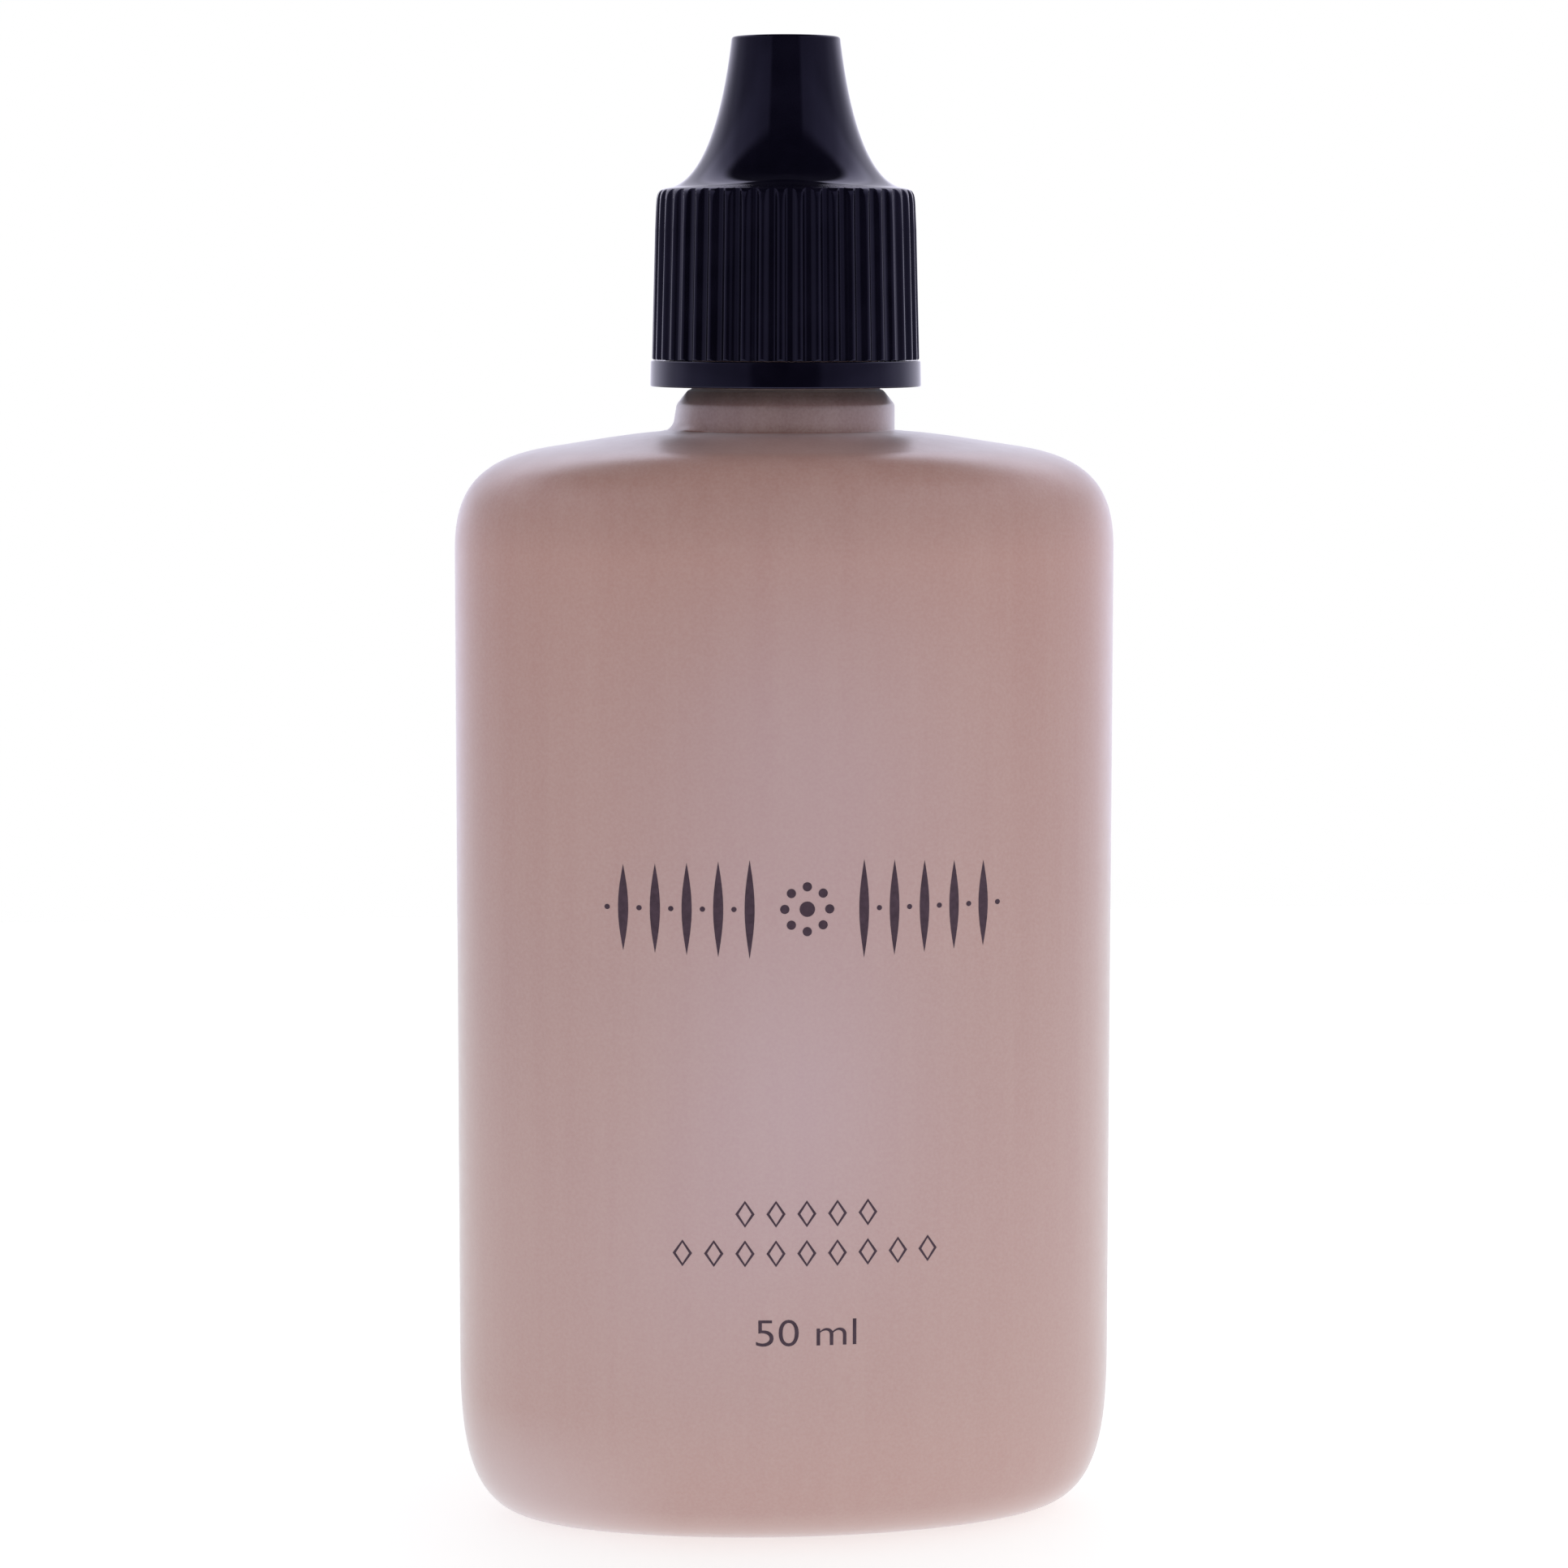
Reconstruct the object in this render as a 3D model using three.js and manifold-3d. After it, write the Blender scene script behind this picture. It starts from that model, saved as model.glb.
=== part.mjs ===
// Squeeze bottle for liquid foundation: an oval frosted bottle, its contents, a pressed-in
// dropper nozzle, a ribbed screw cap with a tapered nose, and the cap's snap-off band.
// Units are millimetres. +Z is up, -Y is the printed front, the origin is under the middle
// of the base.
import * as THREE from 'three';
import { mergeVertices } from 'three/addons/utils/BufferGeometryUtils.js';
import Module from 'manifold-3d';

// ---------- driving dimensions ----------
const WIDTH = 44;
const DEPTH = 28;
const WALL = 1.0;
const GAP = 0.3;

const BODY_TOP = 73.0; // where the collar meets the shoulder
const FOOT_HALF_WIDTH = 17.0; // flat ring the bottle stands on
const FOOT_HALF_DEPTH = 7.5;
const FOOT_CORNER_HEIGHT = 11.0;
const PUSH_UP = 0.7; // recess of the base's middle
const PUSH_UP_HALF_WIDTH = 12.0;
const SHOULDER_START = 65.0;

const COLLAR_RADIUS = 7.24;
const COLLAR_TOP = 75.7;
const COLLAR_CHAMFER = 0.93;
const LUG_HALF_ANGLE = THREE.MathUtils.degToRad(33);
const LUG_PROUD = 0.3; // stop lug at the collar's foot, on the -X side
const NECK_RADIUS = 6.2;
const BORE_RADIUS = 4.9;
const BEAD_RADIUS = 7.1; // ring that holds the band down
const BEAD_BASE = 77.95;
const LIP_TOP = 87.0;

const THREAD_LEAD = 3.0;
const THREAD_TURNS = 1.5;
const THREAD_BEAD = 0.5; // radius of the round thread ridge
const NECK_THREAD_START = 81.2;
const CAP_THREAD_OFFSET = -1.4; // the cap's ridge lies under the neck's

const BAND_RADIUS = 9.0;
const BAND_BASE = 75.95;
const BAND_TOP = 77.55;
const BAND_INNER = 8.0;
const BAND_LIP_RADIUS = 6.82;

const SKIRT_BASE = 77.85;
const SKIRT_RADIUS = 8.87; // over the rib crests, at the bottom
const RIM_RADIUS = 8.56; // over the rib crests, just under the rim
const NOSE_BASE = 89.0;
const SKIRT_BORE = 7.45;
const SKIRT_CEILING = 88.5;
const RIB_COUNT = 45;
const RIB_DEPTH = 0.3;
const CAP_TOP = 98.9;

const NOZZLE_TIP = 94.5;
const NOZZLE_BORE = 0.8;
const PIN_RADIUS = 0.5;
const FILL_LEVEL = 81.6;

const BODY_SEGMENTS = 48;
const ROUND_SEGMENTS = 45;

const wasm = await Module();
wasm.setup();

// ---------- solids ----------
// A closed triangle mesh with shared vertices, its faces pointing out.
function closedMesh(geometry) {
  const bare = geometry.clone();
  for (const name of Object.keys(bare.attributes)) {
    if (name !== 'position') bare.deleteAttribute(name);
  }
  const merged = mergeVertices(bare, 1e-4);
  const position = merged.getAttribute('position');
  const index = merged.getIndex();
  const triangles = [];
  for (let i = 0; i < index.count; i += 3) {
    const corners = [index.getX(i), index.getX(i + 1), index.getX(i + 2)];
    if (new Set(corners).size === 3) triangles.push(corners);
  }
  const volume = triangles.reduce((sum, corners) => {
    const [a, b, c] = corners.map((k) => new THREE.Vector3().fromBufferAttribute(position, k));
    return sum + a.dot(b.cross(c));
  }, 0);
  if (volume < 0) triangles.forEach((corners) => corners.reverse());
  return { position, triangles };
}

function solid(geometry) {
  const { position, triangles } = closedMesh(geometry);
  return new wasm.Manifold(new wasm.Mesh({
    numProp: 3,
    vertProperties: new Float32Array(position.array),
    triVerts: new Uint32Array(triangles.flat()),
  }));
}

function fromSolid(manifold) {
  const mesh = manifold.getMesh();
  const geometry = new THREE.BufferGeometry();
  geometry.setAttribute('position', new THREE.BufferAttribute(new Float32Array(mesh.vertProperties), 3));
  geometry.setIndex(new THREE.BufferAttribute(new Uint32Array(mesh.triVerts), 1));
  geometry.computeVertexNormals();
  return geometry;
}

// A solid of revolution about Z. Each profile point is [radius, height].
function turned(profile, segments = ROUND_SEGMENTS) {
  const points = profile.map(([r, z]) => new THREE.Vector2(r, z));
  return new THREE.LatheGeometry(points, segments).rotateX(Math.PI / 2);
}

// Height on a helix is THREAD_LEAD for each turn, right-handed.
class Helix extends THREE.Curve {
  constructor(radius, startHeight, turns) {
    super();
    this.radius = radius;
    this.startHeight = startHeight;
    this.turns = turns;
  }

  getPoint(t, target = new THREE.Vector3()) {
    const angle = 2 * Math.PI * this.turns * t;
    return target.set(
      this.radius * Math.cos(angle),
      this.radius * Math.sin(angle),
      this.startHeight + THREAD_LEAD * this.turns * t,
    );
  }
}

function threadRidge(radius, startHeight) {
  const section = new THREE.Shape();
  section.absarc(0, 0, THREAD_BEAD, 0, 2 * Math.PI, false);
  return new THREE.ExtrudeGeometry(section, {
    curveSegments: 3,
    steps: 36,
    extrudePath: new Helix(radius, startHeight, THREAD_TURNS),
  });
}

// ---------- the oval body ----------
// Half the depth of the oval whose half-width is a: a circle at the neck, flatter below.
function shoulderDepth(a) {
  const share = Math.max(a - COLLAR_RADIUS, 0) / (WIDTH / 2 - COLLAR_RADIUS);
  return Math.min(a, COLLAR_RADIUS) + share * (DEPTH / 2 - COLLAR_RADIUS);
}

function footDepth(a) {
  if (a <= FOOT_HALF_WIDTH) return (FOOT_HALF_DEPTH * a) / FOOT_HALF_WIDTH;
  const share = (a - FOOT_HALF_WIDTH) / (WIDTH / 2 - FOOT_HALF_WIDTH);
  return FOOT_HALF_DEPTH + share * (DEPTH / 2 - FOOT_HALF_DEPTH);
}

// The outside from the middle of the base to the collar's foot, as rows of half-width a,
// half-depth b and height z.
function bodyRows(footSteps, shoulderSteps) {
  const corner = new THREE.CubicBezierCurve(
    new THREE.Vector2(FOOT_HALF_WIDTH, 0),
    new THREE.Vector2(WIDTH / 2 - 0.4, 0.4),
    new THREE.Vector2(WIDTH / 2, FOOT_CORNER_HEIGHT / 2),
    new THREE.Vector2(WIDTH / 2, FOOT_CORNER_HEIGHT),
  ).getPoints(footSteps).map((p) => [p.x, p.y]);
  const foot = [
    [0, PUSH_UP],
    [PUSH_UP_HALF_WIDTH, PUSH_UP],
    [PUSH_UP_HALF_WIDTH + 0.9, 0],
    ...corner,
  ];
  const shoulder = new THREE.CubicBezierCurve(
    new THREE.Vector2(WIDTH / 2, SHOULDER_START),
    new THREE.Vector2(WIDTH / 2, SHOULDER_START + 3.4),
    new THREE.Vector2(WIDTH / 2 - 0.85, BODY_TOP - 1.9),
    new THREE.Vector2(15.8, BODY_TOP - 1.05),
  ).getPoints(shoulderSteps).map((p) => [p.x, p.y]);
  shoulder.push([11.4, BODY_TOP - 0.38], [8.5, BODY_TOP - 0.05]);
  return [
    ...foot.map(([a, z]) => ({ a, b: footDepth(a), z })),
    { a: WIDTH / 2, b: DEPTH / 2, z: (FOOT_CORNER_HEIGHT + SHOULDER_START) / 2 },
    ...shoulder.map(([a, z]) => ({ a, b: shoulderDepth(a), z })),
  ];
}

// The same rows moved inwards by a distance, to give the inside of a wall.
function insetRows(rows, distance) {
  return rows.map((row, i) => {
    const before = rows[Math.max(i - 1, 0)];
    const after = rows[Math.min(i + 1, rows.length - 1)];
    const tangent = new THREE.Vector2(after.a - before.a, after.z - before.z).normalize();
    const a = Math.max(row.a - distance * tangent.y, 0);
    const b = Math.max(row.b - distance * tangent.y, 0);
    return { a, b, z: row.z + distance * tangent.x };
  });
}

function circleRows(profile) {
  return profile.map(([r, z]) => ({ a: r, b: r, z }));
}

// A lathe of the rows, squeezed in Y so that each row is its own oval.
function ovalLathe(rows, segments = BODY_SEGMENTS) {
  const geometry = turned(rows.map(({ a, z }) => [a, z]), segments);
  const position = geometry.getAttribute('position');
  for (let i = 0; i < position.count; i += 1) {
    const { a, b } = rows[i % rows.length];
    if (a > 0) position.setY(i, position.getY(i) * (b / a));
  }
  return geometry;
}

// The stop lug swells the collar towards its foot on the -X side.
function swellLug(geometry) {
  const position = geometry.getAttribute('position');
  const point = new THREE.Vector3();
  const chamferBase = COLLAR_TOP - COLLAR_CHAMFER;
  for (let i = 0; i < position.count; i += 1) {
    point.fromBufferAttribute(position, i);
    const radius = Math.hypot(point.x, point.y);
    const fromSide = Math.atan2(Math.abs(point.y), -point.x);
    const onCollar = Math.abs(radius - COLLAR_RADIUS) < 0.01 && point.z < chamferBase;
    if (onCollar && fromSide < LUG_HALF_ANGLE) {
      const low = (chamferBase - point.z) / (chamferBase - BODY_TOP);
      const factor = 1 + (LUG_PROUD * low) / radius;
      position.setXY(i, point.x * factor, point.y * factor);
    }
  }
  return geometry;
}

function neckOutside() {
  return circleRows([
    [COLLAR_RADIUS, BODY_TOP + 0.08],
    [COLLAR_RADIUS, BODY_TOP + 0.5],
    [COLLAR_RADIUS, COLLAR_TOP - COLLAR_CHAMFER],
    [6.5, COLLAR_TOP],
    [NECK_RADIUS, COLLAR_TOP + 0.1],
    [NECK_RADIUS, BEAD_BASE],
    [BEAD_RADIUS, BEAD_BASE + 0.1],
    [BEAD_RADIUS, BEAD_BASE + 0.5],
    [NECK_RADIUS, BEAD_BASE + 1.1],
    [NECK_RADIUS, LIP_TOP - 0.35],
    [NECK_RADIUS - 0.35, LIP_TOP],
    [BORE_RADIUS + 0.3, LIP_TOP],
  ]);
}

function neckInside() {
  return circleRows([
    [BORE_RADIUS, LIP_TOP - 0.3],
    [BORE_RADIUS, BODY_TOP + 0.3],
    [BORE_RADIUS + 0.7, BODY_TOP - 0.8],
  ]);
}

function bottle() {
  const outside = bodyRows(6, 7);
  const inside = insetRows(bodyRows(4, 4), WALL).reverse();
  const shell = ovalLathe([...outside, ...neckOutside(), ...neckInside(), ...inside]);
  const thread = threadRidge(NECK_RADIUS + 0.25, NECK_THREAD_START);
  return fromSolid(solid(swellLug(shell)).add(solid(thread)));
}

// The contents fill the body and stand in the neck up to the nozzle's plug.
function foundationFill() {
  const column = BORE_RADIUS - GAP;
  return ovalLathe([
    ...insetRows(bodyRows(4, 4), WALL + GAP),
    ...circleRows([
      [column + 0.9, BODY_TOP - 1.2],
      [column, BODY_TOP],
      [column, FILL_LEVEL],
      [0, FILL_LEVEL],
    ]),
  ], 40);
}

// ---------- nozzle, band and cap ----------
// Pressed into the bore: a plug below its flange, and a tapered dropper spout above it.
function nozzleInsert() {
  const plug = BORE_RADIUS - GAP;
  const flange = LIP_TOP + GAP;
  return turned([
    [plug - 1.0, LIP_TOP - 5.0],
    [plug - 0.25, LIP_TOP - 5.0],
    [plug, LIP_TOP - 4.5],
    [plug, flange],
    [5.9, flange],
    [5.9, flange + 0.8],
    [3.4, flange + 0.8],
    [2.7, flange + 1.6],
    [1.6, NOZZLE_TIP - 1.0],
    [1.6, NOZZLE_TIP - 0.3],
    [1.35, NOZZLE_TIP],
    [NOZZLE_BORE, NOZZLE_TIP],
    [NOZZLE_BORE, NOZZLE_TIP - 1.9],
    [1.7, flange + 1.4],
    [plug - 1.0, flange],
    [plug - 1.0, LIP_TOP - 5.0],
  ], 24);
}

// A smooth ring with an inward lip that the neck's bead holds down.
function tamperBand() {
  return turned([
    [BAND_INNER, BAND_BASE],
    [BAND_RADIUS - 0.1, BAND_BASE],
    [BAND_RADIUS, BAND_BASE + 0.1],
    [BAND_RADIUS - 0.04, BAND_TOP - 0.1],
    [BAND_RADIUS - 0.14, BAND_TOP],
    [BAND_INNER, BAND_TOP],
    [BAND_INNER - 0.3, BAND_TOP - 0.2],
    [BAND_LIP_RADIUS, BAND_TOP - 0.25],
    [BAND_LIP_RADIUS, BAND_TOP - 0.65],
    [BAND_INNER - 0.2, BAND_TOP - 0.95],
    [BAND_INNER, BAND_BASE],
  ]);
}

// The cap's outside without its flutes: drafted skirt, rounded rim, hollow-curved nose.
function capEnvelope() {
  const nose = new THREE.CubicBezierCurve(
    new THREE.Vector2(7.75, NOSE_BASE),
    new THREE.Vector2(6.76, NOSE_BASE + 0.2),
    new THREE.Vector2(4.64, NOSE_BASE + 1.35),
    new THREE.Vector2(3.62, CAP_TOP - 0.45),
  ).getPoints(9).map((p) => [p.x, p.y]);
  return turned([
    [0, SKIRT_BASE],
    [SKIRT_RADIUS, SKIRT_BASE],
    [RIM_RADIUS + 0.14, NOSE_BASE - 2.8],
    [RIM_RADIUS + 0.02, NOSE_BASE - 1.1],
    [RIM_RADIUS - 0.06, NOSE_BASE - 0.4],
    [RIM_RADIUS - 0.36, NOSE_BASE - 0.1],
    ...nose,
    [3.5, CAP_TOP - 0.14],
    [3.2, CAP_TOP],
    [0, CAP_TOP],
  ]);
}

// A fluted prism whose sharp crests just reach the envelope.
function flutedPrism() {
  const outline = new THREE.Shape();
  const pitch = (2 * Math.PI) / RIB_COUNT;
  const crest = SKIRT_RADIUS + 0.06;
  const root = SKIRT_RADIUS - RIB_DEPTH;
  for (let i = 0; i < RIB_COUNT; i += 1) {
    const corners = [[0, crest], [0.35, root], [0.65, root]];
    for (const [share, radius] of corners) {
      const angle = (i + share) * pitch;
      const [x, y] = [radius * Math.sin(angle), -radius * Math.cos(angle)];
      if (i === 0 && share === 0) outline.moveTo(x, y);
      else outline.lineTo(x, y);
    }
  }
  const height = CAP_TOP - SKIRT_BASE + 2;
  const prism = new THREE.ExtrudeGeometry(outline, { depth: height, bevelEnabled: false });
  prism.translate(0, 0, SKIRT_BASE - 1);
  const position = prism.getAttribute('position');
  const draft = (SKIRT_RADIUS - RIM_RADIUS) / (NOSE_BASE - SKIRT_BASE) / SKIRT_RADIUS;
  for (let i = 0; i < position.count; i += 1) {
    const factor = 1 - draft * (position.getZ(i) - SKIRT_BASE);
    position.setXY(i, position.getX(i) * factor, position.getY(i) * factor);
  }
  return prism;
}

function capCavity() {
  return turned([
    [0, SKIRT_BASE - 1],
    [SKIRT_BORE, SKIRT_BASE - 1],
    [SKIRT_BORE, SKIRT_CEILING - 0.4],
    [SKIRT_BORE - 0.4, SKIRT_CEILING],
    [5.6, SKIRT_CEILING],
    [4.9, NOSE_BASE + 1.0],
    [4.0, NOSE_BASE + 3.0],
    [3.1, NOSE_BASE + 6.0],
    [2.7, CAP_TOP - 1.5],
    [2.4, CAP_TOP - 1.2],
    [0, CAP_TOP - 1.2],
  ], 36);
}

// Hangs from the cap's ceiling and stops the nozzle's outlet.
function sealingPin() {
  return turned([
    [0, NOZZLE_TIP - 1.1],
    [PIN_RADIUS - 0.15, NOZZLE_TIP - 1.1],
    [PIN_RADIUS, NOZZLE_TIP - 0.9],
    [PIN_RADIUS, NOZZLE_TIP + 0.4],
    [1.2, CAP_TOP - 1.6],
    [1.2, CAP_TOP - 1.0],
    [0, CAP_TOP - 1.0],
  ], 18);
}

function screwCap() {
  const thread = threadRidge(SKIRT_BORE - 0.25, NECK_THREAD_START + CAP_THREAD_OFFSET);
  return fromSolid(
    solid(capEnvelope())
      .intersect(solid(flutedPrism()))
      .subtract(solid(capCavity()))
      .add(solid(sealingPin()))
      .add(solid(thread)),
  );
}

// ---------- assembly ----------
function piece(name, geometry, colour, roughness) {
  const material = new THREE.MeshStandardMaterial({ color: colour, roughness, metalness: 0 });
  const mesh = new THREE.Mesh(geometry, material);
  mesh.name = name;
  return mesh;
}

const assembly = new THREE.Group();
const capWithBand = new THREE.Group();
capWithBand.add(
  piece('screw_cap', screwCap(), 0x15121c, 0.2),
  piece('tamper_band', tamperBand(), 0x15121c, 0.2),
);
assembly.add(
  piece('bottle', bottle(), 0xd9cdd2, 0.45),
  piece('foundation_fill', foundationFill(), 0xb08a80, 0.5),
  piece('nozzle_insert', nozzleInsert(), 0xe8e4e6, 0.4),
  capWithBand,
);

export default assembly;
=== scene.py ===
"""Fine surfaces, materials, light and camera for the foundation bottle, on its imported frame.

Shapes are worked out in millimetres, in the frame's own axes: +Z up, -Y the printed front.
"""

import math

import bpy
import numpy as np
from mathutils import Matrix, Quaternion, Vector


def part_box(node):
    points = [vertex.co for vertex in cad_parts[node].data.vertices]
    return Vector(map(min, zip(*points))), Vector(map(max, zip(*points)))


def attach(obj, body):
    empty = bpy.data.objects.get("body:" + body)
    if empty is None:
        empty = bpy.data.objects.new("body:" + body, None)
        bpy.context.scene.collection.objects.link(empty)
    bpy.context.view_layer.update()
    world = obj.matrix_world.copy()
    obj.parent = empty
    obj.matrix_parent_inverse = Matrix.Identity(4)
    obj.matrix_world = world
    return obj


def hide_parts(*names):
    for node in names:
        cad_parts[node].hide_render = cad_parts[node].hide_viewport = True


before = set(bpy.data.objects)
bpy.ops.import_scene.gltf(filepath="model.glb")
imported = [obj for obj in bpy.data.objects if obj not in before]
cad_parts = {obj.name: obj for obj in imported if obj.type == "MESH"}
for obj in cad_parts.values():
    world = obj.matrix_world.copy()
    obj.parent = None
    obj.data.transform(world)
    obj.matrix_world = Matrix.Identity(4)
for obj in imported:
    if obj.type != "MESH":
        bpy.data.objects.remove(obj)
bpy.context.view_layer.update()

MM = 0.001
BODY = "filled_bottle"


def millimetres(node):
    low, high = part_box(node)
    return [low[i] / MM for i in range(3)], [high[i] / MM for i in range(3)]


# ---------- sizes, in millimetres ----------
_, BOTTLE_HIGH = millimetres("bottle")
BAND_LOW, BAND_HIGH = millimetres("tamper_band")
CAP_LOW, CAP_HIGH = millimetres("screw_cap")
NOZZLE_LOW, NOZZLE_HIGH = millimetres("nozzle_insert")
_, FILL_HIGH = millimetres("foundation_fill")

INK_LIFT = 0.015  # how far the print stands off the wall
HALF_WIDTH = BOTTLE_HIGH[0]
HALF_DEPTH = BOTTLE_HIGH[1] - INK_LIFT
LIP_TOP = BOTTLE_HIGH[2]
WALL = 1.0
GAP = 0.3  # left free between separate pieces
BODY_TOP = 73.0
FOOT_HALF_WIDTH = 17.0
FOOT_HALF_DEPTH = 7.5
FOOT_CORNER_HEIGHT = 11.0
PUSH_UP = 0.7  # how far the base is recessed
PUSH_UP_HALF_WIDTH = 12.0
SHOULDER_START = 65.0
SHOULDER_END = (15.8, BODY_TOP - 1.05)
SLOPE_END = (8.5, BODY_TOP - 0.05)

COLLAR_RADIUS = 7.24
COLLAR_TOP = 75.7
CHAMFER_BASE = COLLAR_TOP - 0.93
LUG_HALF_ANGLE = math.radians(33)
LUG_PROUD = 0.3
LUG_FILLET = 0.4
LUG_FILLET_HEIGHT = 0.7
NECK_RADIUS = 6.2
BORE_RADIUS = 4.9
BEAD_RADIUS = 7.1
BEAD_BASE = 77.95
BEAD_TOP = BEAD_BASE + 1.1

THREAD_LEAD = 3.0
THREAD_TURNS = 1.5
THREAD_HEIGHT = 0.75
THREAD_CREST = 0.16  # half the ridge's height along Z at its crest
THREAD_FOOT = 0.5  # and at its foot
THREAD_FADE = 0.3  # radians over which a ridge rises and dies out
NECK_THREAD_START = 81.2
CAP_THREAD_START = NECK_THREAD_START - 1.4

SEAM = 0.05  # the line between the band and the skirt, before the band snaps off
SEAM_HEIGHT = (BAND_HIGH[2] + CAP_LOW[2]) / 2
SKIRT_BASE = SEAM_HEIGHT + SEAM / 2
CAP_TOP = CAP_HIGH[2]
SKIRT_RADIUS = 8.87
SKIRT_BORE = 7.45
SKIRT_EDGE_ROWS = 6  # the first rows of the cap, round the skirt's edge, have no ribs
NOSE_BASE = 89.0
RIM_RADIUS = 8.56
RIM_START = (RIM_RADIUS + 0.02, NOSE_BASE - 1.1)
NOSE_FOOT = (7.75, NOSE_BASE)
NOSE_TIP = (3.62, CAP_TOP - 0.45)
CAVITY_TOP = CAP_TOP - 1.2
RIB_COUNT = 45
RIB_DEPTH = 0.3

NOZZLE_BORE = 0.82
SPOUT_RADIUS = 1.6
FLANGE_RADIUS = 5.9
FLANGE_HEIGHT = 0.8
BAND_BORE = 8.0
BAND_LIP_RADIUS = 6.84

ORNAMENT_HEIGHT = 42.8
ROSETTE_RADIUS = 1.45
ROSETTE_DOTS = 8
LEAVES_PER_SIDE = 5
FIRST_LEAF = 3.7
LEAF_PITCH = 2.0
DIAMOND_ROWS = ((22.95, 5), (20.35, 9))  # height of a row and how many diamonds it has
DIAMOND_PITCH = 2.0
VOLUME_HEIGHT = 14.25
VOLUME_SIZE = 2.55
VOLUME_THINNING = -0.018
VOLUME_STRETCH = 1.2

SHARP_ANGLE = math.radians(32)
POLE = 1e-6  # a row narrower than this is a single point
FLOOR_HALF = 0.3  # metres


# ---------- curves ----------
def bezier(p0, p1, p2, p3, steps):
    """Points of a cubic from p0 to p3, both ends included."""
    t = np.linspace(0, 1, steps + 1)[:, None]
    p0, p1, p2, p3 = (np.array(p, float) for p in (p0, p1, p2, p3))
    curve = (1 - t) ** 3 * p0 + 3 * t * (1 - t) ** 2 * p1 + 3 * t**2 * (1 - t) * p2 + t**3 * p3
    return [tuple(p) for p in curve]


def line(p0, p1, steps):
    return [tuple(p) for p in np.linspace(p0, p1, steps + 1)]


def rounded(points, radius, steps=4):
    """The open outline through points, with each inner corner rounded by at most radius."""
    out = [tuple(points[0])]
    for before, corner, after in zip(points, points[1:], points[2:]):
        corner = np.array(corner, float)
        back = np.array(before, float) - corner
        ahead = np.array(after, float) - corner
        reach = min(radius, np.linalg.norm(back) * 0.45, np.linalg.norm(ahead) * 0.45)
        start = corner + back / np.linalg.norm(back) * reach
        end = corner + ahead / np.linalg.norm(ahead) * reach
        out += bezier(start, (start + 2 * corner) / 3, (end + 2 * corner) / 3, end, steps)
    out.append(tuple(points[-1]))
    return out


def smooth_step(low, high, x):
    t = np.clip((x - low) / (high - low), 0, 1)
    return t * t * (3 - 2 * t)


# ---------- mesh making ----------
def add_object(name, data):
    piece = bpy.data.objects.new(name, data)
    bpy.context.scene.collection.objects.link(piece)
    return piece


def make_mesh(name, verts, faces):
    mesh = bpy.data.meshes.new(name)
    mesh.from_pydata(verts, [], faces)
    mesh.validate()
    mesh.update()
    mesh.shade_smooth()
    mesh.set_sharp_from_angle(angle=SHARP_ANGLE)
    return add_object(name, mesh)


def revolve(name, rows, count, swell=None, closed=False):
    """A surface round Z through rows of (half-width, half-depth, height), pointing outwards.

    swell(angles, row index) gives extra radius for an array of angles. A row of no width is a
    pole. closed joins the last row to the first, for a ring with its own inside.
    """
    angles = -math.pi / 2 + np.arange(count) * (2 * math.pi / count)
    verts, starts = [], []
    for index, (a, b, z) in enumerate(rows):
        starts.append(len(verts))
        if a < POLE:
            verts.append((0, 0, z * MM))
            continue
        extra = swell(angles, index) if swell else 0
        x = (a + extra) * np.cos(angles)
        y = (b + extra) * np.sin(angles)
        verts += [(px * MM, py * MM, z * MM) for px, py in zip(x, y)]
    faces = []
    pairs = list(zip(range(len(rows)), range(1, len(rows))))
    if closed:
        pairs.append((len(rows) - 1, 0))
    for low, high in pairs:
        low_pole = rows[low][0] < POLE
        high_pole = rows[high][0] < POLE
        for j in range(count):
            k = (j + 1) % count
            if low_pole:
                faces.append((starts[low], starts[high] + k, starts[high] + j))
            elif high_pole:
                faces.append((starts[low] + j, starts[low] + k, starts[high]))
            else:
                low_edge = (starts[low] + j, starts[low] + k)
                faces.append((*low_edge, starts[high] + k, starts[high] + j))
    return make_mesh(name, verts, faces)


def circles(profile):
    """Round rows for revolve from points of (radius, height)."""
    return [(r, r, z) for r, z in profile]


def dress(piece, body, slot, material, *nodes):
    """Gives a piece its material and body, and hides the CAD nodes it stands in for. The slot is
    not used.
    """
    piece.data.materials.append(material)
    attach(piece, body)
    if nodes:
        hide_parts(*nodes)
    return piece


# ---------- the bottle ----------
def foot_depth(a):
    """The half-depth at half-width a in the foot, from the base's middle out to the wall."""
    if a <= FOOT_HALF_WIDTH:
        return FOOT_HALF_DEPTH * a / FOOT_HALF_WIDTH
    share = (a - FOOT_HALF_WIDTH) / (HALF_WIDTH - FOOT_HALF_WIDTH)
    return FOOT_HALF_DEPTH + share * (HALF_DEPTH - FOOT_HALF_DEPTH)


def shoulder_depth(a):
    """The half-depth at half-width a above the foot: the oval turns round towards the collar."""
    share = max(a - COLLAR_RADIUS, 0) / (HALF_WIDTH - COLLAR_RADIUS)
    return min(a, COLLAR_RADIUS) + share * (HALF_DEPTH - COLLAR_RADIUS)


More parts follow.
